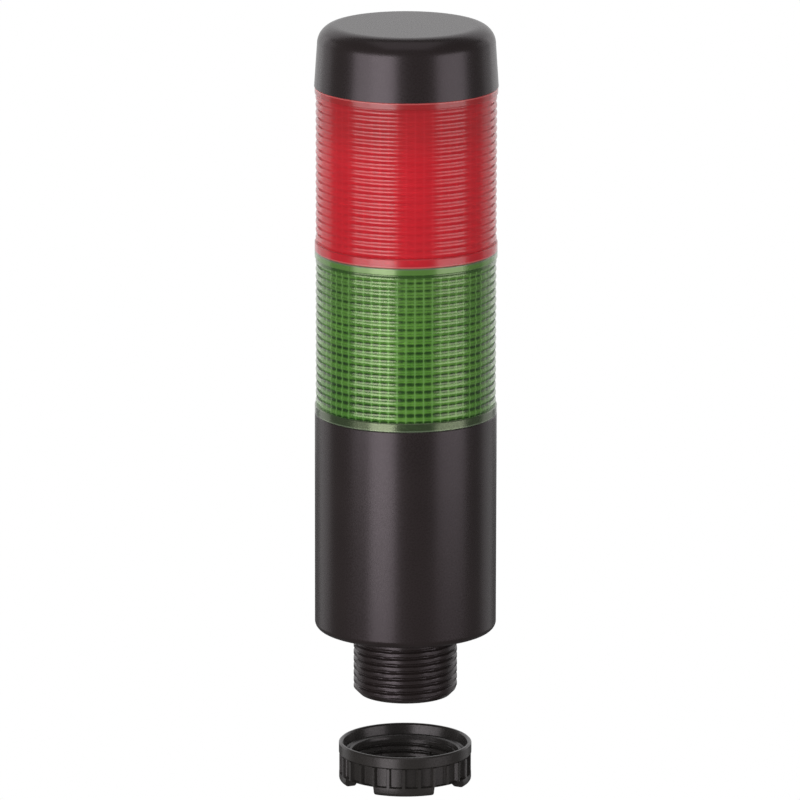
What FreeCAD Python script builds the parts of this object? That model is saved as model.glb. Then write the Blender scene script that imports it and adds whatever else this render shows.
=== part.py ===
"""Two-tier stack light, 38 mm across, for a 22 mm panel hole.

A black base housing with a threaded spigot carries two ribbed lenses and a black cap.  Inside stand a
connection board, a spacer sleeve, and for each tier a round LED board with a white reflector funnel on
it.  The mounting nut hangs below the spigot, on the same axis.

Millimetres, +Z up.  The origin is on the axis, in the plane of the housing's underside, which seats on
the panel.  The spigot points down.
"""
import FreeCAD, Part
import math
import os

V = FreeCAD.Vector

# Tower
TOWER_D = 38.2          # housing and the smooth bands of the lenses, outside
HOUSING_H = 46.6        # panel seat to the housing's rim
HOUSING_WALL = 2.3
HOUSING_FLOOR = 3.0
HOUSING_FOOT_R = 1.5    # rounding of the lower edge
TIER_H = 34.85          # height of one lens between its parting lines
TIERS = 2
CAP_H = 12.9            # cap above the upper lens
CAP_PROUD = 0.1         # cap's rim stands out from the tower, on the radius
CAP_TAPER = 0.6         # cap is narrower by this, on the radius, where its rounding starts
CAP_ROUND = 4.0
CAP_WALL = 2.0

# Lens
LENS_STEP = 0.2         # rib crests stand back from the smooth bands, on the radius
LENS_WALL = 1.5         # crest to the roots of the inner prisms
LENS_TOP_BAND = 1.5
LENS_FOOT_BAND = 1.9
LENS_RIBS = 19
LENS_RIB_DEPTH = 0.2
PRISM_DEPTH = 0.8
PRISMS = 64

# Joint between two stacked parts: a neck in a socket, with a seal ring in the neck's groove
NECK_SHOULDER = 1.8     # neck stands back from the tower's outside, on the radius
NECK_WALL = 1.5
NECK_H = 3.6
NECK_GAP = 0.1          # neck to socket, on the radius
SOCKET_SPARE = 0.4      # socket deeper than the neck
SEAL_H = 1.6
SEAL_DEPTH = 1.0        # groove in the neck, on the radius
SEAL_GAP = 0.02

# Spigot, seal, cable inlet
SPIGOT_D = 21.85        # crest of the M22 x 1.5 thread
SPIGOT_H = 14.3
SPIGOT_WALL = 2.725
SPIGOT_CHAMFER = 1.3
PANEL_SEAL_GAP = 1.4    # spigot to seal ring, on the radius
PANEL_SEAL_W = 2.0
PANEL_SEAL_H = 1.0
GROMMET_HOLE_D = 6.0
GROMMET_H = 5.0
GROMMET_RECESS = 1.2

# Nut
NUT_H = 8.6
NUT_DROP = 10.7         # spigot's end to the nut's top face, as it lies off the spigot
NUT_THREAD_GAP = 0.1    # spigot crest to nut bore, on the radius
NUT_WALL = 3.025        # bore to the collar's outside
NUT_COLLAR_H = 2.6
NUT_SKIRT_STEP = 0.8    # skirt stands back from the collar, on the radius
NUT_RIB_PROUD = 0.75    # grip ribs stand out from the skirt
NUT_RIB_W = 0.9
NUT_RIBS = 26
NUT_TABS = 4
NUT_GAP_DEG = 34.8      # castellation between two tabs
NUT_GAP_H = 1.85        # also the height of the plain foot ring under the ribs
NUT_FIRST_TAB_DEG = -91.2
NUT_EDGE = 0.8          # bevel round the lower edge
NUT_RIM_WALL = 0.9      # collar's wall round the recess on top
NUT_RECESS_H = 2.0
NUT_LEAD_IN = 0.8       # at both ends of the bore

# Boards and what is on them
BOARD_T = 1.6
INNER_GAP = 0.2         # inner stack to the bore of the necks, on the radius
SLEEVE_WALL = 1.2
BOSS_D = 4.4
BOSS_H = 8.0
BOSS_INSET = 2.3        # middle of a boss to the inside of the spacer sleeve
BOSSES = 3
BOSS_FIRST_DEG = 90.0
PILOT_D = 1.8
SCREW_GAP = 0.05
SCREW_HEAD_D = 4.0
SCREW_HEAD_H = 1.4
SCREW_SLOT_W = 0.7
SCREW_HOLE_D = 2.6
SCREW_LENGTH = 5.6
PIN_W = 0.64
PIN_SPACING = 2.54
PINS = 3
PIN_HOLE_D = 1.0
HEADER_H = 2.5
LEDS = 8
LED_INSET = 4.9         # middle of an LED to the edge of its board
LED_W = 3.2
LED_H = 1.5
LED_DOME_W = 2.2
LED_DOME_H = 0.5
REFLECTOR_WALL = 1.2
REFLECTOR_FOOT_D = 12.0
REFLECTOR_FOOT_H = 4.0
REFLECTOR_RIM_H = 1.2
HOLD_DOWN_RIBS = 4
HOLD_DOWN_FIRST_DEG = 45.0
HOLD_DOWN_W = 1.6
HOLD_DOWN_T = 1.4
HOLD_DOWN_ROOT = 0.3    # part of the rib inside the cap's wall

# Terminal block under the connection board, and the parts on top of it
POLES = 3
POLE_SPACING = 3.5
BLOCK_W = 7.6
BLOCK_FLOOR_GAP = 0.4
WIRE_HOLE_W = 2.4
WIRE_HOLE_ROOF = 1.8    # left above the wire holes
CLAMP_WALL = 0.25
CLAMP_H = 3.6
CAPACITOR_D = 6.3
CAPACITOR_H = 11.0
CAPACITOR_EDGE = 0.3
CAPACITOR_GAP = 0.9     # to the inside of the spacer sleeve
CAPACITOR_DEG = 150.0
RECTIFIER_LENGTH = 5.0
RECTIFIER_W = 4.0
RECTIFIER_H = 2.4
RECTIFIER_GAP = 1.5     # to the inside of the spacer sleeve
RECTIFIER_DEG = 30.0
RESISTORS = 3
RESISTOR_LENGTH = 3.2
RESISTOR_W = 1.6
RESISTOR_H = 0.6
RESISTOR_SPACING = 3.0
RESISTOR_GAP = 4.3      # to the inside of the spacer sleeve

# Worked out from the sizes above
TOWER_R = TOWER_D / 2
CREST_R = TOWER_R - LENS_STEP
NECK_R = TOWER_R - NECK_SHOULDER
NECK_BORE_R = NECK_R - NECK_WALL
SOCKET_R = NECK_R + NECK_GAP
SOCKET_H = NECK_H + SOCKET_SPARE
SPIGOT_R = SPIGOT_D / 2
SPIGOT_BORE_R = SPIGOT_R - SPIGOT_WALL
STACK_R = NECK_BORE_R - INNER_GAP
SLEEVE_R = STACK_R - SLEEVE_WALL
BOSS_RING_R = SLEEVE_R - BOSS_INSET
TIER_Z = [HOUSING_H + i * TIER_H for i in range(TIERS + 1)]
BASE_BOARD_Z = HOUSING_FLOOR + BOSS_H
# each LED board lies with its upper face level with the foot of its lens
LED_BOARD_Z = [z - BOARD_T for z in TIER_Z]


def disc(radius, z0, z1):
    return Part.makeCylinder(radius, z1 - z0, V(0, 0, z0))


def tube(outer, inner, z0, z1):
    return disc(outer, z0, z1).cut(disc(inner, z0, z1))


def block(width, depth, z0, z1, x=0.0, y=0.0):
    return Part.makeBox(width, depth, z1 - z0, V(x - width / 2, y - depth / 2, z0))


def lathe(edges):
    """Solid of revolution about Z from a closed chain of edges in the XZ plane."""
    face = Part.Face(Part.Wire(edges))
    return face.revolve(V(0, 0, 0), V(0, 0, 1), 360)


def line(a, b):
    return Part.LineSegment(V(a[0], 0, a[1]), V(b[0], 0, b[1])).toShape()


def polyline(points):
    return [line(a, b) for a, b in zip(points, points[1:])]


def round_corner(centre, radius, start_deg, end_deg):
    """Arc in the XZ plane, from one angle to the other, measured from +X towards +Z."""
    def at(deg):
        a = math.radians(deg)
        return V(centre[0] + radius * math.cos(a), 0, centre[1] + radius * math.sin(a))
    return Part.Arc(at(start_deg), at((start_deg + end_deg) / 2), at(end_deg)).toShape()


def turned(shape, degrees):
    copy = shape.copy()
    copy.rotate(V(0, 0, 0), V(0, 0, 1), degrees)
    return copy


def ring_of(shape, count, first=0.0):
    """The shape, repeated evenly round the axis."""
    return [turned(shape, first + i * 360.0 / count) for i in range(count)]


def neck(seat_z):
    """Neck that hangs below a shoulder at seat_z, with the groove for its seal ring."""
    body = tube(NECK_R, NECK_BORE_R, seat_z - NECK_H, seat_z)
    low, high = seal_span(seat_z)
    return body.cut(tube(TOWER_R, NECK_R - SEAL_DEPTH, low, high))


def seal_span(seat_z):
    middle = seat_z - NECK_H / 2
    return middle - SEAL_H / 2, middle + SEAL_H / 2


def seal_ring(seat_z):
    low, high = seal_span(seat_z)
    return tube(SOCKET_R - SEAL_GAP, NECK_R - SEAL_DEPTH, low, high)


def socket(rim_z):
    """Space for the neck of the part above, cut down from a rim."""
    return disc(SOCKET_R, rim_z - SOCKET_H, rim_z)


def panel_ring():
    """Seal ring round the spigot, which also fills its groove in the housing's underside."""
    inner = SPIGOT_R + PANEL_SEAL_GAP
    return tube(inner + PANEL_SEAL_W, inner, 0, PANEL_SEAL_H)


def make_base_housing():
    outer = lathe(
        polyline([(0, 0), (TOWER_R - HOUSING_FOOT_R, 0)])
        + [round_corner((TOWER_R - HOUSING_FOOT_R, HOUSING_FOOT_R), HOUSING_FOOT_R, -90, 0)]
        + polyline([(TOWER_R, HOUSING_FOOT_R), (TOWER_R, HOUSING_H), (0, HOUSING_H), (0, 0)])
    )
    spigot = lathe(polyline([
        (0, 0),
        (0, -SPIGOT_H),
        (SPIGOT_R - SPIGOT_CHAMFER, -SPIGOT_H),
        (SPIGOT_R, SPIGOT_CHAMFER - SPIGOT_H),
        (SPIGOT_R, 0),
        (0, 0),
    ]))
    body = outer.fuse(spigot)
    body = body.cut(disc(TOWER_R - HOUSING_WALL, HOUSING_FLOOR, HOUSING_H))
    body = body.cut(socket(HOUSING_H))
    body = body.cut(disc(SPIGOT_BORE_R, -SPIGOT_H, HOUSING_FLOOR))
    body = body.cut(panel_ring())
    boss = Part.makeCylinder(BOSS_D / 2, BOSS_H, V(BOSS_RING_R, 0, HOUSING_FLOOR))
    pilot = Part.makeCylinder(PILOT_D / 2, BOSS_H, V(BOSS_RING_R, 0, HOUSING_FLOOR))
    for one in ring_of(boss.cut(pilot), BOSSES, BOSS_FIRST_DEG):
        body = body.fuse(one)
    return body.removeSplitter()


def make_lens(foot_z):
    """Clear moulding: neck below, socket above, ring ribs outside and vertical prisms inside."""
    rim_z = foot_z + TIER_H
    valley_r = CREST_R - LENS_RIB_DEPTH
    field_z = foot_z + LENS_FOOT_BAND
    pitch = (TIER_H - LENS_FOOT_BAND - LENS_TOP_BAND) / LENS_RIBS
    outline = [(0, foot_z), (TOWER_R, foot_z), (TOWER_R, field_z)]
    for i in range(LENS_RIBS):
        outline.append((valley_r, field_z + i * pitch))
        outline.append((CREST_R, field_z + (i + 0.5) * pitch))
    outline += [(valley_r, rim_z - LENS_TOP_BAND), (TOWER_R, rim_z - LENS_TOP_BAND)]
    outline += [(TOWER_R, rim_z), (0, rim_z), (0, foot_z)]
    outside = lathe(polyline(outline))
    root_r = CREST_R - LENS_WALL
    star = []
    for i in range(2 * PRISMS):
        angle = math.pi * i / PRISMS
        radius = root_r if i % 2 else root_r - PRISM_DEPTH
        star.append(V(radius * math.cos(angle), radius * math.sin(angle), foot_z))
    star.append(star[0])
    core = Part.Face(Part.makePolygon(star)).extrude(V(0, 0, TIER_H - SOCKET_H))
    shell = outside.cut(core).cut(socket(rim_z))
    return shell.fuse(neck(foot_z))


def make_cap(seat_z):
    top_z = seat_z + CAP_H
    rim_r = TOWER_R + CAP_PROUD
    shoulder_r = rim_r - CAP_TAPER
    shoulder_z = top_z - CAP_ROUND
    roof_z = top_z - CAP_WALL
    inner_round = CAP_ROUND - CAP_WALL
    outside = lathe(
        polyline([(0, seat_z), (rim_r, seat_z), (shoulder_r, shoulder_z)])
        + [round_corner((shoulder_r - CAP_ROUND, shoulder_z), CAP_ROUND, 0, 90)]
        + polyline([(shoulder_r - CAP_ROUND, top_z), (0, top_z), (0, seat_z)])
    )
    inside = lathe(polyline([
        (0, seat_z),
        (NECK_BORE_R, seat_z),
        (NECK_BORE_R, roof_z - inner_round),
        (NECK_BORE_R - inner_round, roof_z),
        (0, roof_z),
        (0, seat_z),
    ]))
    body = outside.cut(inside).fuse(neck(seat_z))
    # ribs that hold the inner stack down, from the bore's wall inwards
    rib_z = LED_BOARD_Z[TIERS]
    rib = Part.makeBox(HOLD_DOWN_W + HOLD_DOWN_ROOT, HOLD_DOWN_T, roof_z - rib_z,
                       V(NECK_BORE_R - HOLD_DOWN_W, -HOLD_DOWN_T / 2, rib_z))
    for one in ring_of(rib, HOLD_DOWN_RIBS, HOLD_DOWN_FIRST_DEG):
        body = body.fuse(one)
    return body.removeSplitter()


def screw_places():
    return ring_of(Part.Vertex(BOSS_RING_R, 0, 0), BOSSES, BOSS_FIRST_DEG)


def row_x(index, count, spacing):
    """Place of one of a row of parts, with the row's middle on the axis."""
    return (index - (count - 1) / 2) * spacing


def pin_holes(z):
    """Plated holes through a board at height z."""
    holes = []
    for i in range(PINS):
        x = row_x(i, PINS, PIN_SPACING)
        holes.append(Part.makeCylinder(PIN_HOLE_D / 2, BOARD_T, V(x, 0, z)))
    return holes


def make_connection_board():
    board = disc(STACK_R, BASE_BOARD_Z, BASE_BOARD_Z + BOARD_T)
    for place in screw_places():
        hole = Part.makeCylinder(SCREW_HOLE_D / 2, BOARD_T, V(place.X, place.Y, BASE_BOARD_Z))
        board = board.cut(hole)
    return board


def make_board_screws():
    """Round-headed screws through the connection board into the floor bosses."""
    head_z = BASE_BOARD_Z + BOARD_T
    screws = []
    for place in screw_places():
        head = Part.makeCylinder(SCREW_HEAD_D / 2, SCREW_HEAD_H, V(place.X, place.Y, head_z))
        shank = Part.makeCylinder(PILOT_D / 2 - SCREW_GAP, SCREW_LENGTH,
                                  V(place.X, place.Y, head_z - SCREW_LENGTH))
        slot = block(SCREW_HEAD_D, SCREW_SLOT_W, head_z + SCREW_HEAD_H / 2, head_z + SCREW_HEAD_H,
                     place.X, place.Y)
        screws.append(head.cut(slot).fuse(shank))
    return Part.makeCompound(screws)


def make_led_board(z):
    board = disc(STACK_R, z, z + BOARD_T)
    for hole in pin_holes(z):
        board = board.cut(hole)
    return board


def make_leds(board_top):
    ring_r = STACK_R - LED_INSET
    body = block(LED_W, LED_W, board_top, board_top + LED_H, ring_r)
    dome_z = board_top + LED_H
    dome = block(LED_DOME_W, LED_DOME_W, dome_z, dome_z + LED_DOME_H, ring_r)
    return Part.makeCompound(ring_of(body.fuse(dome), LEDS, 180.0 / LEDS))


def facet_ring(radius, z):
    """Corners of an outline with one side for each LED, the sides facing the LEDs."""
    corners = []
    for i in range(LEDS):
        angle = 2 * math.pi * i / LEDS
        corners.append(V(radius * math.cos(angle), radius * math.sin(angle), z))
    return corners


def flat_face(corners):
    return Part.Face(Part.makePolygon(corners + corners[:1]))


def facet_funnel(foot_r, rim_r, foot_z, top_z):
    """Straight foot, cone and straight rim, all with one flat side for each LED."""
    cone_z = foot_z + REFLECTOR_FOOT_H
    rim_z = top_z - REFLECTOR_RIM_H
    rings = [facet_ring(foot_r, foot_z), facet_ring(foot_r, cone_z),
             facet_ring(rim_r, rim_z), facet_ring(rim_r, top_z)]
    faces = [flat_face(rings[0]), flat_face(rings[-1])]
    for lower, upper in zip(rings, rings[1:]):
        for i in range(LEDS):
            j = (i + 1) % LEDS
            faces.append(flat_face([lower[i], lower[j], upper[j], upper[i]]))
    return Part.makeSolid(Part.makeShell(faces))


def make_reflector(foot_z, top_z):
    """White funnel, narrow end down on the LED board, whose rim carries the next board."""
    foot_r = REFLECTOR_FOOT_D / 2
    outer = facet_funnel(foot_r, STACK_R, foot_z, top_z)
    inner = facet_funnel(foot_r - REFLECTOR_WALL, STACK_R - REFLECTOR_WALL, foot_z, top_z)
    return outer.cut(inner)


def make_header(board_top, pin_end):
    """Header block on a board, with pins that reach up into the next board."""
    header = block(PINS * PIN_SPACING, PIN_SPACING, board_top, board_top + HEADER_H)
    pins = []
    for i in range(PINS):
        pin = block(PIN_W, PIN_W, board_top, pin_end, row_x(i, PINS, PIN_SPACING))
        header = header.cut(pin)
        pins.append(pin)
    return header, Part.makeCompound(pins)


def make_terminal_block():
    """Push-in terminals under the connection board, with their wire holes facing down the spigot."""
    low = HOUSING_FLOOR + BLOCK_FLOOR_GAP
    body = block(POLES * POLE_SPACING, BLOCK_W, low, BASE_BOARD_Z)
    clamps = []
    top = BASE_BOARD_Z - WIRE_HOLE_ROOF
    for i in range(POLES):
        x = row_x(i, POLES, POLE_SPACING)
        body = body.cut(block(WIRE_HOLE_W, WIRE_HOLE_W, low, top, x))
        inside = WIRE_HOLE_W - 2 * CLAMP_WALL
        cage = block(WIRE_HOLE_W, WIRE_HOLE_W, top - CLAMP_H, top, x)
        clamps.append(cage.cut(block(inside, inside, top - CLAMP_H, top, x)))
    return body, Part.makeCompound(clamps)


def make_capacitor():
    z = BASE_BOARD_Z + BOARD_T
    x = SLEEVE_R - CAPACITOR_GAP - CAPACITOR_D / 2
    can = Part.makeCylinder(CAPACITOR_D / 2, CAPACITOR_H, V(x, 0, z))
    return turned(can.makeChamfer(CAPACITOR_EDGE, [can.Edges[0]]), CAPACITOR_DEG)


def make_board_parts():
    """Rectifier and resistors on the connection board."""
    z = BASE_BOARD_Z + BOARD_T
    rectifier_x = SLEEVE_R - RECTIFIER_GAP - RECTIFIER_LENGTH / 2
    rectifier = block(RECTIFIER_LENGTH, RECTIFIER_W, z, z + RECTIFIER_H, rectifier_x)
    parts = [turned(rectifier, RECTIFIER_DEG)]
    resistor_y = SLEEVE_R - RESISTOR_GAP - RESISTOR_LENGTH / 2
    for i in range(RESISTORS):
        x = row_x(i, RESISTORS, RESISTOR_SPACING)
        parts.append(block(RESISTOR_W, RESISTOR_LENGTH, z, z + RESISTOR_H, x, -resistor_y))
    return Part.makeCompound(parts)


def make_grommet():
    low = GROMMET_RECESS - SPIGOT_H
    return tube(SPIGOT_BORE_R - SEAL_GAP, GROMMET_HOLE_D / 2, low, low + GROMMET_H)


def make_mounting_nut():
    """Castellated ring nut: smooth collar, ribbed skirt, and a plain foot ring cut into tabs."""
    top = -SPIGOT_H - NUT_DROP
    bottom = top - NUT_H
    collar_z = top - NUT_COLLAR_H
    bore_r = SPIGOT_R + NUT_THREAD_GAP
    collar_r = bore_r + NUT_WALL
    skirt_r = collar_r - NUT_SKIRT_STEP
    rib_r = skirt_r + NUT_RIB_PROUD
    skirt = disc(skirt_r, bottom, collar_z)
    rib = Part.makeBox(rib_r, NUT_RIB_W, collar_z - bottom, V(0, -NUT_RIB_W / 2, bottom))
    ribs = ring_of(rib, NUT_RIBS, NUT_FIRST_TAB_DEG)
    foot_ring = disc(rib_r, bottom, bottom + NUT_GAP_H)
    body = disc(collar_r, collar_z, top).fuse([skirt, foot_ring] + ribs)
    envelope = lathe(polyline([
        (0, bottom),
        (rib_r - NUT_EDGE, bottom),
        (rib_r, bottom + NUT_EDGE),
        (rib_r, collar_z),
        (collar_r, collar_z),
        (collar_r, top),
        (0, top),
        (0, bottom),
    ]))
    body = body.common(envelope)
    ledge_z = top - NUT_RECESS_H
    hollow = lathe(polyline([
        (0, bottom),
        (bore_r + NUT_LEAD_IN, bottom),
        (bore_r, bottom + NUT_LEAD_IN),
        (bore_r, ledge_z - NUT_LEAD_IN),
        (bore_r + NUT_LEAD_IN, ledge_z),
        (collar_r - NUT_RIM_WALL, ledge_z),
        (collar_r - NUT_RIM_WALL, top),
        (0, top),
        (0, bottom),
    ]))
    body = body.cut(hollow)
    half_gap = math.radians(NUT_GAP_DEG / 2)
    reach = collar_r / math.cos(half_gap)
    across = reach * math.tan(half_gap)
    wedge = Part.Face(Part.makePolygon([
        V(0, 0, bottom),
        V(reach, -across, bottom),
        V(reach, across, bottom),
        V(0, 0, bottom),
    ])).extrude(V(0, 0, NUT_GAP_H))
    body = body.cut(ring_of(wedge, NUT_TABS, NUT_FIRST_TAB_DEG + 180.0 / NUT_TABS))
    return body.removeSplitter()


def raised(shape, height):
    copy = shape.copy()
    copy.translate(V(0, 0, height))
    return copy


def build():
    base_top = BASE_BOARD_Z + BOARD_T
    tier_foot = LED_BOARD_Z[0] + BOARD_T
    nodes = {
        "base_housing": make_base_housing(),
        "cap": make_cap(TIER_Z[TIERS]),
        "base_seal": seal_ring(TIER_Z[0]),
        "tier_seal": seal_ring(TIER_Z[1]),
        "cap_seal": seal_ring(TIER_Z[TIERS]),
        "panel_seal": panel_ring(),
        "cable_grommet": make_grommet(),
        "mounting_nut": make_mounting_nut(),
        "connection_board": make_connection_board(),
        "board_screws": make_board_screws(),
        "capacitor": make_capacitor(),
        "board_parts": make_board_parts(),
        "spacer_sleeve": tube(STACK_R, SLEEVE_R, base_top, LED_BOARD_Z[0]),
    }
    nodes["terminal_block"], nodes["terminal_clamps"] = make_terminal_block()
    nodes["lower_header"], nodes["lower_pins"] = make_header(base_top, tier_foot)
    nodes["upper_header"], nodes["upper_pins"] = make_header(tier_foot, tier_foot + TIER_H)
    tier = {
        "lens": make_lens(TIER_Z[0]),
        "led_board": make_led_board(LED_BOARD_Z[0]),
        "leds": make_leds(tier_foot),
        "reflector": make_reflector(tier_foot, LED_BOARD_Z[1]),
    }
    for i, colour in enumerate(("green", "red")):
        for piece, shape in tier.items():
            nodes[colour + "_" + piece] = raised(shape, i * TIER_H)
    return nodes


os.makedirs("parts", exist_ok=True)
for name, shape in build().items():
    shape.exportStep("parts/" + name + ".step")
    solids = shape.Solids
    volume = sum(solid.Volume for solid in solids)
    print(f"{name:18s} solids {len(solids):2d}  volume {volume:9.1f} mm3  valid {shape.isValid()}")
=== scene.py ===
"""Looks of the two-tier stack light: materials, clear ribbed lenses, threads, light and camera.

Metres in the part's own frame: +Z up, origin on the axis in the plane of the housing's underside.
Azimuth 0 is the camera's side, -Y, and grows towards the camera's right.
"""
import math
from functools import partial

import bmesh
import bpy
from mathutils import Matrix, Vector


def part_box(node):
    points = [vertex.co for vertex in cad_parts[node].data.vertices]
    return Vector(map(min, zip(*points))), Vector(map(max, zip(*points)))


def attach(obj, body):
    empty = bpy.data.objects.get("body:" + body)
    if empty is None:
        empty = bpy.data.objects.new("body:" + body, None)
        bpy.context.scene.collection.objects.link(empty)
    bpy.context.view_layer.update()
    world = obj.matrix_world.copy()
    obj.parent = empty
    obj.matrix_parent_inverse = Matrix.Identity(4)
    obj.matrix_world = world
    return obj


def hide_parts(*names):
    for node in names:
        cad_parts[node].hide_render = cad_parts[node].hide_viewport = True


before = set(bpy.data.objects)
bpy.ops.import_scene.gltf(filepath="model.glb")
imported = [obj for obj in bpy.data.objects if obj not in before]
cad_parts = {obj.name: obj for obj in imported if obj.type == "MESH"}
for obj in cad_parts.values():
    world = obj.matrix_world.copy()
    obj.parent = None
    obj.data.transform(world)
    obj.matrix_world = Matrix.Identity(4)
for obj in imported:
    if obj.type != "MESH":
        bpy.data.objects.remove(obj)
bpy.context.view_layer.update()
MM = 0.001

# Camera: long lens from the front, looking down on the tower
CAMERA_DISTANCE = 1.7
CAMERA_ELEVATION = math.radians(13.394)
CAMERA_ROLL = math.radians(0.1)
CAMERA_AIM = Vector((-1.22 * MM, 0.0, 49.09 * MM))
CAMERA_CLIP = (0.01, 50.0)
PIXELS_PER_METRE = 4767.0       # at the aimed point
PICTURE = 800
SENSOR = 36.0

# Light: the world is white where it is seen, and this bright as light and in reflections
WORLD_FILL = 0.36
WORLD_GLOSS = 0.12
LIGHT_LEVEL = 0.05              # height from which the lights' lower and upper edges count

# Materials, with the scales of their noise in cells a metre
NOISE_MIDDLE = (0.3, 0.7)       # where most of a noise's values lie
CLOUD_SCALE = 60.0
GRAIN_SCALE = 2400.0
GRAIN_DETAIL = 2.0
GRAIN_ROUGHNESS = 0.6
GRAIN_DEPTH = 0.012 * MM
GRAIN_BUMP = 0.35
WHITE = (1.0, 1.0, 1.0)
WARM_SHEEN = (1.0, 0.86, 0.95)
NUT_SHEEN = (1.0, 0.92, 0.96)
CLEAR_CLOUD_SCALE = 90.0
CLEAR_GRAIN_SCALE = 1800.0
CLEAR_UNEVEN = (0.8, 1.2)       # least and most of the roughness
CLEAR_TRANSMISSION = 0.45
CLEAR_IOR = 1.585
CLEAR_SHEEN = 0.35
CLEAR_SHEEN_ROUGHNESS = 0.25

# Light and shade painted on a lens: rows of dark dashes of painted shade, fainter ones between them, a dark
# line of painted shade under the top band, painted glints on the prisms' edges and painted shade spreading
# below the top band. A power above 1 narrows a wave and one below 1 widens it. Losses and gains are those
# over a tier's height.
ROW_POWER = 1.3
ROW_DEPTH = 0.85
ROW_LOSS = 0.5
BETWEEN_POWER = 2.0
BETWEEN_DEPTH = 0.15
BETWEEN_GAIN = 0.4
DASH_POWER = 0.3
DASH_LOSS = 0.3
DASH_NOISE_SCALE = 260.0
DASH_UNEVEN = (1.3, 2.0)
TOP_LINE_DEPTH = 0.8
TOP_LINE_H = 0.4                # in ribs
GLINT_POWER = 10.0
GLINT_DEPTH = 0.3
VEIL_FOOT = 0.55                # share of a tier's height where it starts
VEIL_SLOPE = 5.0
VEIL_DEPTH = 0.55

# Housing and necks, as the part's source has them
HOUSING_H = 46.6 * MM
HOUSING_WALL = 2.3 * MM
HOUSING_FLOOR = 3.0 * MM
HOUSING_FOOT_R = 1.5 * MM
HOUSING_FOOT_STEPS = 10
HOUSING_SEGMENTS = 288
NECK_SHOULDER = 1.8 * MM
NECK_WALL = 1.5 * MM
NECK_H = 3.6 * MM
SOCKET_GAP = 0.1 * MM
SOCKET_H = 4.0 * MM
SEAL_H = 1.6 * MM
SEAL_DEPTH = 1.0 * MM
PANEL_SEAL_GAP = 1.4 * MM
PANEL_SEAL_W = 2.0 * MM
PANEL_SEAL_H = 1.0 * MM
SPIGOT_R = 10.925 * MM
SPIGOT_H = 14.3 * MM
SPIGOT_WALL = 2.725 * MM
SPIGOT_CHAMFER = 1.3 * MM
BOSS_R = 2.2 * MM
BOSS_PILOT = 0.41               # pilot hole, as a share of the boss
BOSS_H = 8.0 * MM
BOSS_RING_R = 12.1 * MM
BOSS_SEGMENTS = 32
BOSSES = 3
EDGE = 0.15 * MM                # small rounding of a moulded edge
SHARP_DEG = 35.0                # edges sharper than this aren't smoothed

# Lens
TIER_H = 34.85 * MM
LENS_STEP = 0.2 * MM
LENS_RIB_DEPTH = 0.2 * MM
LENS_RIBS = 19
LENS_TOP_BAND = 1.5 * MM
LENS_FOOT_BAND = 1.9 * MM
LENS_WALL = 1.5 * MM
LENS_PRISM_DEPTH = 0.8 * MM
LENS_PRISMS = 64
LENS_SEGMENTS = 384
RIB_STEPS = 8
# a rim's pale line is a painted highlight
RIM_LINE = 0.35 * MM            # height of a rim's pale line

# Threads
THREAD_PITCH = 1.5 * MM
THREAD_DEPTH = 0.5 * MM
THREAD_ROOT = 0.08 * MM         # half the groove's flat floor
THREAD_FLANK = 0.32 * MM        # one flank, along the axis
THREAD_START = 1.3 * MM         # first groove below the seat, at the front
THREAD_ROW = 0.11 * MM          # height of one row of faces
NUT_THREAD_DEPTH = 0.45 * MM
NUT_THREAD_RUN_OUT = 0.5 * MM

# Nut
NUT_THREAD_GAP = 0.1 * MM
NUT_WALL = 3.025 * MM
NUT_COLLAR_H = 2.6 * MM
NUT_SKIRT_STEP = 0.8 * MM
NUT_SKIRT_END = 0.2 * MM        # strip above the tabs where the pockets between the ribs close
NUT_SKIRT_ROWS = 4
NUT_RIB_PROUD = 0.75 * MM
NUT_RIB_W = 0.9 * MM            # halfway up its flanks
NUT_RIB_FLANK = 0.16 * MM
NUT_RIBS = 26
NUT_TABS = 4
NUT_GAP_DEG = 34.8
NUT_GAP_H = 1.85 * MM
NUT_FIRST_TAB_DEG = -91.2
NUT_EDGE = 0.8 * MM             # rounding of a tab's lower outer edge
NUT_EDGE_STEPS = 6
NUT_CORNER = 0.4 * MM           # rounding of a tab's two lower corners
NUT_RIM = 0.3 * MM              # bevel of the collar's and the recess's edges
NUT_RIM_WALL = 0.9 * MM
NUT_RECESS_H = 2.0 * MM
NUT_LEAD_IN = 0.8 * MM
NUT_LIP_OUT = 0.35              # the bore's lip is rounded at these shares of its lead-in
NUT_LIP_DOWN = 0.2
NUT_GUTTER = 0.4 * MM           # recess floor below the bore's lip
NUT_RECESS_DRAFT = 0.2
NUT_SEAM = 0.02 * MM            # least height of a row of faces
NUT_SEGMENTS = 600
NUT_SHARP_DEG = 30.0


def new_material(name):
    """Material with only a principled shader and its output."""
    material = bpy.data.materials.new(name)
    material.use_nodes = True
    nodes = material.node_tree.nodes
    nodes.clear()
    output = nodes.new("ShaderNodeOutputMaterial")
    shader = nodes.new("ShaderNodeBsdfPrincipled")
    material.node_tree.links.new(shader.outputs["BSDF"], output.inputs["Surface"])
    return material, nodes, material.node_tree.links, shader


def noise(nodes, links, scale, detail=3.0, roughness=0.5):
    """Noise in the object's own coordinates, in metres."""
    where = nodes.new("ShaderNodeTexCoord")
    texture = nodes.new("ShaderNodeTexNoise")
    texture.inputs["Scale"].default_value = scale
    texture.inputs["Detail"].default_value = detail
    texture.inputs["Roughness"].default_value = roughness
    links.new(where.outputs["Object"], texture.inputs["Vector"])
    return texture.outputs["Fac"]


def spread(nodes, links, factor, low, high):
    """A number that runs from low to high over the middle of the factor's range."""
    span = nodes.new("ShaderNodeMapRange")
    span.inputs["From Min"].default_value = NOISE_MIDDLE[0]
    span.inputs["From Max"].default_value = NOISE_MIDDLE[1]
    span.inputs["To Min"].default_value = low
    span.inputs["To Max"].default_value = high
    links.new(factor, span.inputs["Value"])
    return span.outputs["Result"]


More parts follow.
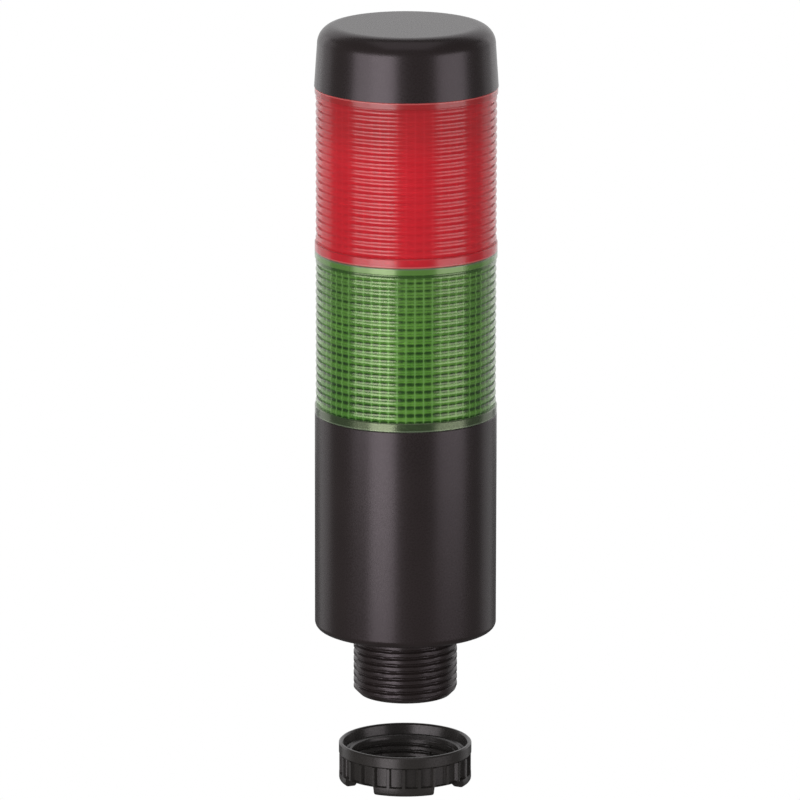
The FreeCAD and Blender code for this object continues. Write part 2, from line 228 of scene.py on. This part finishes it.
def tint(nodes, links, factor, *colours):
    """A colour that runs from the first to the second over the middle of the factor's range."""
    ramp = nodes.new("ShaderNodeValToRGB")
    for element, position, colour in zip(ramp.color_ramp.elements, NOISE_MIDDLE, colours):
        element.position = position
        element.color = (*colour, 1.0)
    links.new(factor, ramp.inputs["Fac"])
    return ramp.outputs["Color"]


def bump(nodes, links, shader, height, strength, distance):
    """Fine relief in the shader's normal."""
    node = nodes.new("ShaderNodeBump")
    node.inputs["Strength"].default_value = strength
    node.inputs["Distance"].default_value = distance
    links.new(height, node.inputs["Height"])
    links.new(node.outputs["Normal"], shader.inputs["Normal"])


def rgba(sockets, name):
    """The colour socket of that name, because a mix node has others of the same name."""
    return [socket for socket in sockets if socket.name == name and socket.type == "RGBA"][0]


def mixed(nodes, links, factor, colour, second):
    """Colour socket that turns into the second colour as the factor goes from 0 to 1."""
    node = nodes.new("ShaderNodeMix")
    node.data_type = "RGBA"
    links.new(factor, node.inputs["Factor"])
    links.new(colour, rgba(node.inputs, "A"))
    rgba(node.inputs, "B").default_value = (*second, 1.0)
    return rgba(node.outputs, "Result")


def maths(nodes, links, operation, *values):
    """Result of a maths node; each value is a socket or a number."""
    node = nodes.new("ShaderNodeMath")
    node.operation = operation
    for i, value in enumerate(values):
        if isinstance(value, bpy.types.NodeSocket):
            links.new(value, node.inputs[i])
        else:
            node.inputs[i].default_value = value
    return node.outputs["Value"]


def painted_lens_light(nodes, links, foot):
    """How much each shade of a lens counts at each place of it.

    Each is painted light or shade. Painted shade: the top band's dark colour spreads down over the ribs near
    it, for the dark neck behind it and dark reflections. Painted highlight: a glint on the prisms' edges.
    Painted
    shade: a dark dash at each crossing of a ring rib's valley and a prism, stronger lower down, with fainter
    ones between the rows, which gain higher up, and a dark line under the top band. Then the two smooth
    bands, with painted colours where the necks behind them show through, and a pale line of painted
    highlight at the outer edge of each.
    """
    times = partial(maths, nodes, links, "MULTIPLY")
    plus = partial(maths, nodes, links, "ADD")
    power = partial(maths, nodes, links, "POWER")
    above = partial(maths, nodes, links, "GREATER_THAN")
    below = partial(maths, nodes, links, "LESS_THAN")

    def swell(angle):
        """Half a cosine wave: 1 at an angle of 0, 0 at half a turn."""
        return plus(times(maths(nodes, links, "COSINE", angle), 0.5), 0.5)

    where = nodes.new("ShaderNodeTexCoord")
    split = nodes.new("ShaderNodeSeparateXYZ")
    links.new(where.outputs["Object"], split.inputs["Vector"])
    turn = maths(nodes, links, "ARCTAN2", split.outputs["Y"], split.outputs["X"])
    across = swell(plus(times(turn, float(LENS_PRISMS)), math.pi))
    pitch = (TIER_H - LENS_FOOT_BAND - LENS_TOP_BAND) / LENS_RIBS
    ribs_h = pitch * LENS_RIBS
    height = plus(split.outputs["Z"], -(foot + LENS_FOOT_BAND))
    phase = times(height, 2.0 * math.pi / pitch)
    share = times(height, 1.0 / TIER_H)
    ribbed = times(above(height, 0.0), below(height, ribs_h))

    # Painted shade: dark dashes where the ribs' valleys cross the prisms, in rows with fainter rows between
    rows = times(power(swell(phase), ROW_POWER), plus(times(share, -ROW_LOSS), ROW_DEPTH))
    between = times(power(swell(times(phase, 2.0)), BETWEEN_POWER),
                    plus(times(share, BETWEEN_GAIN), BETWEEN_DEPTH))
    uneven = spread(nodes, links, noise(nodes, links, DASH_NOISE_SCALE, GRAIN_DETAIL), *DASH_UNEVEN)
    lower = plus(times(share, -DASH_LOSS), 1.0)
    dashes = times(times(times(power(across, DASH_POWER), plus(rows, between)), uneven), lower)
    # Painted shade: a dark line under the top band
    top_line = times(above(height, pitch * (LENS_RIBS - TOP_LINE_H)), TOP_LINE_DEPTH)
    dashes = times(maths(nodes, links, "MAXIMUM", dashes, top_line), ribbed)

    # Painted highlight: glints on the prisms' edges
    glint = times(times(power(plus(times(across, -1.0), 1.0), GLINT_POWER), ribbed), GLINT_DEPTH)
    # Painted shade: the top band's dark colour spreads down over the upper ribs
    rise = maths(nodes, links, "MAXIMUM", times(plus(share, -VEIL_FOOT), VEIL_SLOPE), 0.0)
    painted_shade_veil = times(maths(nodes, links, "MINIMUM", rise, 1.0), VEIL_DEPTH)
    # The smooth bands, painted with colours for the dark necks showing through, and a pale line of painted
    # highlight at the outer edge of each
    top_band = above(height, ribs_h)
    foot_band = times(below(height, 0.0), above(height, -LENS_FOOT_BAND))
    rim_highlight_lines = plus(above(height, TIER_H - LENS_FOOT_BAND - RIM_LINE),
                times(below(height, RIM_LINE - LENS_FOOT_BAND), foot_band))
    return painted_shade_veil, glint, dashes, top_band, foot_band, rim_highlight_lines


def solid_look(name, dark, light, smooth, rough, grain=GRAIN_SCALE, grain_depth=GRAIN_DEPTH, metallic=0.0,
               sheen_tint=WHITE):
    """Moulded or metal surface: slow clouds of colour, fine grain in roughness and bump."""
    material, nodes, links, shader = new_material(name)
    links.new(tint(nodes, links, noise(nodes, links, CLOUD_SCALE), dark, light), shader.inputs["Base Color"])
    fine = noise(nodes, links, grain, GRAIN_DETAIL, GRAIN_ROUGHNESS)
    links.new(spread(nodes, links, fine, smooth, rough), shader.inputs["Roughness"])
    shader.inputs["Metallic"].default_value = metallic
    shader.inputs["Specular Tint"].default_value = (*sheen_tint, 1.0)
    bump(nodes, links, shader, fine, GRAIN_BUMP, grain_depth)
    return material


def clear_look(name, dark, light, foot, shine, shine_tint, coat, roughness, dash_depth, dash_shade,
               glint_shade, top_shade, foot_shade, rim_highlight_colour):
    """Tinted clear moulding whose foot is at that height.

    Light and shade are painted into its colour. Painted shade darkens it in dashes where ribs cross prisms
    and spreads down from the top band, and a painted glint lights the prisms' edges. The smooth bands above
    and below have painted colours of their own, because the necks behind them show through, and a painted
    highlight lights a pale line along their outer edges.
    """
    material, nodes, links, shader = new_material(name)
    painted_shade_veil, glint, dashes, top_band, foot_band, rim_highlight_lines = painted_lens_light(nodes, links, foot)
    dashes = maths(nodes, links, "MULTIPLY", dashes, dash_depth)
    colour = tint(nodes, links, noise(nodes, links, CLEAR_CLOUD_SCALE), dark, light)
    # Painted light and shade laid over the plastic's own tint, in this order
    for factor, shade in ((painted_shade_veil, top_shade), (glint, glint_shade), (dashes, dash_shade),
                          (top_band, top_shade), (foot_band, foot_shade), (rim_highlight_lines, rim_highlight_colour)):
        colour = mixed(nodes, links, factor, colour, shade)
    links.new(colour, shader.inputs["Base Color"])
    fine = noise(nodes, links, CLEAR_GRAIN_SCALE, GRAIN_DETAIL)
    uneven = spread(nodes, links, fine, *(roughness * share for share in CLEAR_UNEVEN))
    links.new(uneven, shader.inputs["Roughness"])
    settings = {
        "Transmission Weight": CLEAR_TRANSMISSION,
        "IOR": CLEAR_IOR,
        "Specular IOR Level": shine,
        "Specular Tint": (*shine_tint, 1.0),
        "Coat Weight": coat,
        "Coat Roughness": roughness,
        "Sheen Weight": CLEAR_SHEEN,
        "Sheen Roughness": CLEAR_SHEEN_ROUGHNESS,
    }
    for socket, value in settings.items():
        shader.inputs[socket].default_value = value
    return material


LOOKS = {
    "black": solid_look("black_satin_plastic", (0.018, 0.0135, 0.013), (0.022, 0.0165, 0.016), 0.25, 0.31,
                        sheen_tint=WARM_SHEEN),
    "nut": solid_look("black_nut_plastic", (0.02, 0.018, 0.0165), (0.027, 0.0245, 0.0225), 0.24, 0.32,
                      sheen_tint=NUT_SHEEN),
    # The lenses' dash, top and foot colours are painted shade; their glint and rim colours are painted
    # highlights
    "red": clear_look("red_clear_plastic", (0.83, 0.018, 0.035), (0.9, 0.026, 0.045), HOUSING_H + TIER_H,
                      shine=0.16, shine_tint=WHITE, coat=0.45, roughness=0.21,
                      dash_depth=0.2, dash_shade=(0.45, 0.01, 0.02), glint_shade=(0.85, 0.04, 0.06),
                      top_shade=(0.55, 0.03, 0.035), foot_shade=(0.8, 0.022, 0.04),
                      rim_highlight_colour=(0.9, 0.16, 0.16)),
    "green": clear_look("green_clear_plastic", (0.11, 0.36, 0.037), (0.22, 0.52, 0.074), HOUSING_H,
                        shine=1.0, shine_tint=(0.85, 1.0, 0.55), coat=0.6, roughness=0.2,
                        dash_depth=1.0, dash_shade=(0.008, 0.06, 0.005), glint_shade=(0.42, 0.72, 0.3),
                        top_shade=(0.15, 0.34, 0.065), foot_shade=(0.045, 0.075, 0.032),
                        rim_highlight_colour=(0.19, 0.25, 0.16)),
    "rubber": solid_look("black_rubber", (0.012, 0.012, 0.012), (0.02, 0.02, 0.02), 0.6, 0.8),
    "white": solid_look("white_diffuse_plastic", (0.78, 0.78, 0.76), (0.84, 0.84, 0.82), 0.45, 0.6),
    "board": solid_look("green_board", (0.02, 0.14, 0.05), (0.03, 0.2, 0.08), 0.35, 0.5, grain=1500.0),
    "white_board": solid_look("white_board", (0.7, 0.71, 0.69), (0.76, 0.77, 0.75), 0.3, 0.45, grain=1500.0),
    "steel": solid_look("zinc_steel", (0.5, 0.5, 0.5), (0.62, 0.62, 0.61), 0.25, 0.4, grain=3000.0,
                        grain_depth=0.02 * MM, metallic=1.0),
    "brass": solid_look("pin_brass", (0.6, 0.45, 0.2), (0.72, 0.56, 0.28), 0.2, 0.35, grain=3000.0,
                        grain_depth=0.01 * MM, metallic=1.0),
    "sleeve": solid_look("capacitor_sleeve", (0.02, 0.03, 0.08), (0.03, 0.04, 0.1), 0.2, 0.3, grain=1200.0),
    "moulding": solid_look("black_moulding", (0.014, 0.014, 0.014), (0.022, 0.022, 0.022), 0.4, 0.55),
    "grey": solid_look("grey_moulding", (0.32, 0.34, 0.35), (0.38, 0.4, 0.41), 0.4, 0.55),
    "led": solid_look("led_body", (0.8, 0.74, 0.42), (0.86, 0.82, 0.5), 0.15, 0.3, grain=3000.0),
}

NODE_LOOKS = {
    "base_housing": "black", "cap": "black", "mounting_nut": "nut",
    "green_lens": "green", "red_lens": "red",
    "base_seal": "rubber", "tier_seal": "rubber", "cap_seal": "rubber", "panel_seal": "rubber",
    "cable_grommet": "rubber", "connection_board": "board", "board_screws": "steel",
    "capacitor": "sleeve", "board_parts": "moulding", "spacer_sleeve": "white",
    "terminal_block": "grey", "terminal_clamps": "steel",
    "lower_header": "moulding", "lower_pins": "brass", "upper_header": "moulding", "upper_pins": "brass",
    "green_led_board": "white_board", "green_leds": "led", "green_reflector": "white",
    "red_led_board": "white_board", "red_leds": "led", "red_reflector": "white",
}


def dress(obj, material):
    """The whole object takes this material."""
    if not obj.data.materials:
        obj.data.materials.append(material)
    for slot in obj.material_slots:
        slot.material = material


def stands_for(obj, node, body):
    """The object is shown in place of the CAD node and moves with its body."""
    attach(obj, body)
    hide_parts(node)


def box_of(node):
    """Lowest and highest corner of a CAD node."""
    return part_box(node)


def tower_radius():
    """Radius of the housing, which the lenses share."""
    return box_of("base_housing")[1][0]


def arc(centre, radius, start, end, steps):
    """Points on an arc in the (radius, height) plane, angles in degrees from outwards to upwards."""
    points = []
    for i in range(steps + 1):
        a = math.radians(start + (end - start) * i / steps)
        points.append((centre[0] + radius * math.cos(a), centre[1] + radius * math.sin(a)))
    return points


def turned(mesh, outline, segments, centre=(0.0, 0.0)):
    """Closed band of faces round an upright axis, through the (radius, height) points of the outline.

    A height may be a function of the angle, and a radius one of the angle and the height.
    """
    rings = []
    for radius, height in outline:
        corners = []
        for i in range(segments):
            angle = 2 * math.pi * i / segments
            z = height(angle) if callable(height) else height
            r = radius(angle, z) if callable(radius) else radius
            point = (centre[0] + r * math.cos(angle), centre[1] + r * math.sin(angle), z)
            corners.append(mesh.verts.new(point))
        rings.append(corners)
    for k, first in enumerate(rings):
        second = rings[(k + 1) % len(rings)]
        for i in range(segments):
            j = (i + 1) % segments
            mesh.faces.new((first[i], first[j], second[j], second[i]))


def finish_mesh(name, mesh, look, sharp_deg=SHARP_DEG):
    """Object from the mesh, smooth but for edges sharper than the angle."""
    bmesh.ops.recalc_face_normals(mesh, faces=mesh.faces)
    data = bpy.data.meshes.new(name)
    mesh.to_mesh(data)
    mesh.free()
    for polygon in data.polygons:
        polygon.use_smooth = True
    data.set_sharp_from_angle(angle=math.radians(sharp_deg))
    obj = bpy.data.objects.new(name, data)
    bpy.context.scene.collection.objects.link(obj)
    dress(obj, LOOKS[look])
    return obj


def prism_wall(root):
    """Radius of the lens's inner wall, which is a ring of upright prisms."""
    def radius(angle, z):
        share = (angle * LENS_PRISMS / (2 * math.pi)) % 1.0
        return root - LENS_PRISM_DEPTH * (1.0 - abs(2.0 * share - 1.0))
    return radius


def rounded_rib(share):
    """Height of a ring rib over its pitch, 0 in the valleys and 1 on the crest."""
    return 0.5 - 0.5 * math.cos(2.0 * math.pi * share)


def make_lens(name, node, look):
    """Clear moulding: rounded ring ribs outside, upright prisms inside, socket above, neck below."""
    tower_r = tower_radius()
    crest = tower_r - LENS_STEP
    valley = crest - LENS_RIB_DEPTH
    neck_r = tower_r - NECK_SHOULDER
    bore_r = neck_r - NECK_WALL
    socket_r = neck_r + SOCKET_GAP
    low, high = box_of(node)
    rim = high[2]
    foot = low[2] + NECK_H
    ribs_low = foot + LENS_FOOT_BAND
    ribs_high = rim - LENS_TOP_BAND
    pitch = (ribs_high - ribs_low) / LENS_RIBS
    prisms = prism_wall(crest - LENS_WALL)
    seal_low = foot - NECK_H / 2 - SEAL_H / 2
    seal_high = seal_low + SEAL_H
    outline = [(tower_r - EDGE, foot), (tower_r, foot + EDGE), (tower_r, ribs_low - EDGE),
               (tower_r - EDGE, ribs_low)]
    for rib in range(LENS_RIBS):
        for step in range(RIB_STEPS):
            share = step / RIB_STEPS
            outline.append((valley + LENS_RIB_DEPTH * rounded_rib(share), ribs_low + (rib + share) * pitch))
    outline += [(valley, ribs_high), (tower_r - EDGE, ribs_high), (tower_r, ribs_high + EDGE),
                (tower_r, rim - EDGE), (tower_r - EDGE, rim)]
    outline += [(socket_r, rim), (socket_r, rim - SOCKET_H), (prisms, rim - SOCKET_H), (prisms, foot)]
    outline += [(bore_r, foot), (bore_r, foot - NECK_H), (neck_r, foot - NECK_H), (neck_r, seal_low),
                (neck_r - SEAL_DEPTH, seal_low), (neck_r - SEAL_DEPTH, seal_high), (neck_r, seal_high),
                (neck_r, foot)]
    mesh = bmesh.new()
    turned(mesh, outline, LENS_SEGMENTS)
    obj = finish_mesh(name, mesh, look)
    stands_for(obj, node, "tower")


def thread_groove(z, angle, depth):
    """How deep a right-hand thread is cut at this height and angle."""
    turns = (-z - THREAD_START) / THREAD_PITCH + (angle + math.pi / 2) / (2 * math.pi) + 0.5
    from_floor = abs(turns % 1.0 - 0.5) * THREAD_PITCH
    rise = (from_floor - THREAD_ROOT) / THREAD_FLANK
    return depth * (1.0 - min(max(rise, 0.0), 1.0))


def threaded_spigot(angle, z):
    """Radius of the spigot: the thread fades in below the seat and ends in a chamfer."""
    fade = min(1.0, -z / THREAD_START)
    widest = min(SPIGOT_R, SPIGOT_R - SPIGOT_CHAMFER + (z + SPIGOT_H))
    return min(widest, SPIGOT_R - thread_groove(z, angle, THREAD_DEPTH) * fade)


def make_housing():
    """Base housing with its threaded spigot."""
    tower_r = tower_radius()
    rim = box_of("base_housing")[1][2]
    wall_r = tower_r - HOUSING_WALL
    socket_r = tower_r - NECK_SHOULDER + SOCKET_GAP
    seal_in = SPIGOT_R + PANEL_SEAL_GAP
    seal_out = seal_in + PANEL_SEAL_W
    bore_r = SPIGOT_R - SPIGOT_WALL
    outline = [(tower_r - EDGE, rim), (tower_r, rim - EDGE)]
    outline += arc((tower_r - HOUSING_FOOT_R, HOUSING_FOOT_R), HOUSING_FOOT_R, 0, -90, HOUSING_FOOT_STEPS)
    outline += [(seal_out, 0), (seal_out, PANEL_SEAL_H), (seal_in, PANEL_SEAL_H), (seal_in, 0),
                (SPIGOT_R, 0)]
    rows = int((SPIGOT_H - EDGE) / THREAD_ROW)
    outline += [(threaded_spigot, -row * THREAD_ROW) for row in range(1, rows + 1)]
    outline += [(SPIGOT_R - SPIGOT_CHAMFER, -SPIGOT_H), (bore_r, -SPIGOT_H), (bore_r, HOUSING_FLOOR),
                (wall_r, HOUSING_FLOOR), (wall_r, rim - SOCKET_H), (socket_r, rim - SOCKET_H),
                (socket_r, rim)]
    mesh = bmesh.new()
    turned(mesh, outline, HOUSING_SEGMENTS)
    for i in range(BOSSES):
        add_boss(mesh, math.pi / 2 + 2 * math.pi * i / BOSSES)
    obj = finish_mesh("base_housing_threaded", mesh, "black")
    stands_for(obj, "base_housing", "tower")


def add_boss(mesh, angle):
    """Screw boss with a pilot hole, on the housing's floor."""
    centre = (BOSS_RING_R * math.cos(angle), BOSS_RING_R * math.sin(angle))
    pilot_r = BOSS_R * BOSS_PILOT
    foot = HOUSING_FLOOR - EDGE
    top = HOUSING_FLOOR + BOSS_H
    turned(mesh, [(BOSS_R, foot), (BOSS_R, top), (pilot_r, top), (pilot_r, foot)], BOSS_SEGMENTS, centre)


def off_nearest(angle, first, count):
    """Angle to the nearest of count places evenly round a circle, one of them at the first."""
    step = 2 * math.pi / count
    return abs((angle - first + step / 2) % step - step / 2)


def make_nut():
    """Castellated ring nut with grip ribs, rounded tabs and an inner thread."""
    low, high = box_of("mounting_nut")
    bottom, top = low[2], high[2]
    bore_r = SPIGOT_R + NUT_THREAD_GAP
    collar_r = bore_r + NUT_WALL
    skirt_r = collar_r - NUT_SKIRT_STEP
    rib_r = skirt_r + NUT_RIB_PROUD
    recess_r = collar_r - NUT_RIM_WALL
    collar_z = top - NUT_COLLAR_H
    foot_z = bottom + NUT_GAP_H
    ledge_z = top - NUT_RECESS_H
    ledge_r = bore_r + NUT_LEAD_IN
    thread_top = ledge_z - NUT_LEAD_IN
    gutter_z = ledge_z - NUT_GUTTER
    gutter_r = recess_r - (top - gutter_z) * NUT_RECESS_DRAFT
    first = math.radians(NUT_FIRST_TAB_DEG)
    tab_half = math.pi / NUT_TABS - math.radians(NUT_GAP_DEG) / 2

    def skirt(angle, z):
        """Radius of the skirt: full on a rib, less in a pocket, with a short flank between."""
        off = off_nearest(angle, first, NUT_RIBS) * rib_r
        share = min(max((NUT_RIB_W / 2 + NUT_RIB_FLANK / 2 - off) / NUT_RIB_FLANK, 0.0), 1.0)
        return skirt_r + NUT_RIB_PROUD * share

    def tab_share(angle):
        """How far down a tab reaches, 1 at its full height, with rounded corners."""
        inside = (tab_half - off_nearest(angle, first, NUT_TABS)) * rib_r
        if inside <= 0.0:
            return 0.0
        if inside >= NUT_CORNER:
            return 1.0
        drop = NUT_CORNER - math.sqrt(NUT_CORNER ** 2 - (NUT_CORNER - inside) ** 2)
        return 1.0 - drop / NUT_GAP_H

    def low_z(angle):
        """The nut's lower edge."""
        return foot_z - (NUT_SEAM + (NUT_GAP_H - NUT_SEAM) * tab_share(angle))

    def down(share):
        """Height at that share of the way from the skirt's foot to the lower edge."""
        return lambda angle: foot_z + (low_z(angle) - foot_z) * share

    def up(share):
        """Height at that share of the way from the lower edge to the thread's top."""
        return lambda angle: low_z(angle) + (thread_top - low_z(angle)) * share

    def bore(angle, z):
        """Radius of the bore: a thread that runs out at the top, with a lead-in below."""
        fade = min(1.0, (thread_top - z) / NUT_THREAD_RUN_OUT)
        groove = thread_groove(z, angle, NUT_THREAD_DEPTH) * max(fade, 0.0)
        return bore_r + max(groove, NUT_LEAD_IN - (z - bottom))

    outline = [(recess_r, top - NUT_RIM), (recess_r + NUT_RIM, top), (collar_r - NUT_RIM, top),
               (collar_r, top - NUT_RIM), (collar_r, collar_z + NUT_RIM), (collar_r - NUT_RIM, collar_z)]
    skirt_h = collar_z - foot_z - NUT_SKIRT_END
    for i in range(NUT_SKIRT_ROWS + 1):
        outline.append((skirt, collar_z - NUT_SEAM - skirt_h * i / NUT_SKIRT_ROWS))
    outline.append((rib_r, foot_z))
    straight = (NUT_GAP_H - NUT_EDGE) / NUT_GAP_H
    for i in range(NUT_EDGE_STEPS + 1):
        a = math.pi / 2 * i / NUT_EDGE_STEPS
        share = straight + (1.0 - straight) * math.sin(a)
        outline.append((rib_r - NUT_EDGE * (1.0 - math.cos(a)), down(share)))
    outline.append((ledge_r + EDGE, down(1.0)))
    rows = int((thread_top - bottom) / THREAD_ROW)
    outline += [(bore, up(row / rows)) for row in range(rows + 1)]
    outline += [(bore_r + NUT_LIP_OUT * NUT_LEAD_IN, ledge_z - NUT_LIP_DOWN * NUT_LEAD_IN),
                (ledge_r, ledge_z), (ledge_r + NUT_GUTTER / 2, gutter_z),
                (gutter_r - NUT_RIM, gutter_z), (gutter_r, gutter_z + NUT_RIM)]
    mesh = bmesh.new()
    turned(mesh, outline, NUT_SEGMENTS)
    obj = finish_mesh("mounting_nut_threaded", mesh, "nut", NUT_SHARP_DEG)
    stands_for(obj, "mounting_nut", "nut")


def make_camera():
    """Camera that shows the tower at the photograph's scale."""
    data = bpy.data.cameras.new("camera")
    data.sensor_width = SENSOR
    data.lens = PIXELS_PER_METRE * CAMERA_DISTANCE * SENSOR / PICTURE
    data.clip_start, data.clip_end = CAMERA_CLIP
    camera = bpy.data.objects.new("camera", data)
    back = Vector((0.0, -math.cos(CAMERA_ELEVATION), math.sin(CAMERA_ELEVATION)))
    camera.location = CAMERA_AIM + CAMERA_DISTANCE * back
    tilt = Matrix.Rotation(math.pi / 2 - CAMERA_ELEVATION, 3, "X")
    camera.rotation_euler = (tilt @ Matrix.Rotation(CAMERA_ROLL, 3, "Z")).to_euler()
    bpy.context.scene.collection.objects.link(camera)
    bpy.context.scene.camera = camera


def soft_box(name, azimuth, elevation, distance, width, low, high, radiance):
    """Rectangular light that the camera doesn't see, of the given brightness.

    Its direction is in degrees. Low and high are its lower and upper edge, from the lights' level.
    """
    data = bpy.data.lights.new(name, "AREA")
    data.shape = "RECTANGLE"
    data.size = width
    data.size_y = high - low
    data.energy = radiance * width * (high - low) * math.pi
    light = bpy.data.objects.new(name, data)
    a = math.radians(azimuth)
    e = math.radians(elevation)
    way = Vector((math.sin(a) * math.cos(e), -math.cos(a) * math.cos(e), math.sin(e)))
    light.location = Vector((0.0, 0.0, LIGHT_LEVEL + (low + high) / 2)) + distance * way
    light.rotation_euler = (-way).to_track_quat("-Z", "Y").to_euler()
    light.visible_camera = False
    bpy.context.scene.collection.objects.link(light)


def make_lights():
    """Bright boxes on both sides in front, dim cards behind and a weak light above."""
    soft_box("left_box", -29.5, 0.0, 0.9, 0.52, -0.36, 0.27, 3.6)
    soft_box("left_wing", -57.5, 0.0, 0.9, 0.37, -0.2, 0.27, 2.6)
    soft_box("right_box", 59.0, 0.0, 0.9, 0.68, -0.27, 0.27, 1.9)
    soft_box("left_rear_card", -126.0, 0.0, 1.3, 0.7, -0.5, 0.6, 0.6)
    soft_box("right_rear_card", 128.0, 0.0, 1.3, 0.7, -0.5, 0.6, 0.45)
    soft_box("back_card", 180.0, 10.0, 1.3, 2.6, -0.6, 1.1, 0.75)
    soft_box("top_box", 0.0, 80.0, 1.0, 0.9, -0.45, 0.45, 0.5)


def make_world():
    """White where it is seen, dimmer as light and in reflections."""
    world = bpy.data.worlds.new("world")
    bpy.context.scene.world = world
    world.use_nodes = True
    nodes = world.node_tree.nodes
    links = world.node_tree.links
    nodes.clear()
    output = nodes.new("ShaderNodeOutputWorld")
    background = nodes.new("ShaderNodeBackground")
    background.inputs["Color"].default_value = (*WHITE, 1.0)
    path = nodes.new("ShaderNodeLightPath")
    seen = maths(nodes, links, "MAXIMUM", path.outputs["Is Camera Ray"],
                 path.outputs["Is Transmission Ray"])
    fill = nodes.new("ShaderNodeMapRange")
    fill.inputs["To Min"].default_value = WORLD_FILL
    fill.inputs["To Max"].default_value = WORLD_GLOSS
    links.new(path.outputs["Is Glossy Ray"], fill.inputs["Value"])
    strength = nodes.new("ShaderNodeMix")
    links.new(seen, strength.inputs["Factor"])
    links.new(fill.outputs["Result"], strength.inputs["A"])
    strength.inputs["B"].default_value = 1.0
    links.new(strength.outputs["Result"], background.inputs["Strength"])
    links.new(background.outputs["Background"], output.inputs["Surface"])


for node, look in NODE_LOOKS.items():
    dress(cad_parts[node], LOOKS[look])
make_lens("green_lens_ribbed", "green_lens", "green")
make_lens("red_lens_ribbed", "red_lens", "red")
make_housing()
make_nut()
make_camera()
make_lights()
make_world()
bpy.context.scene.view_settings.view_transform = "Standard"
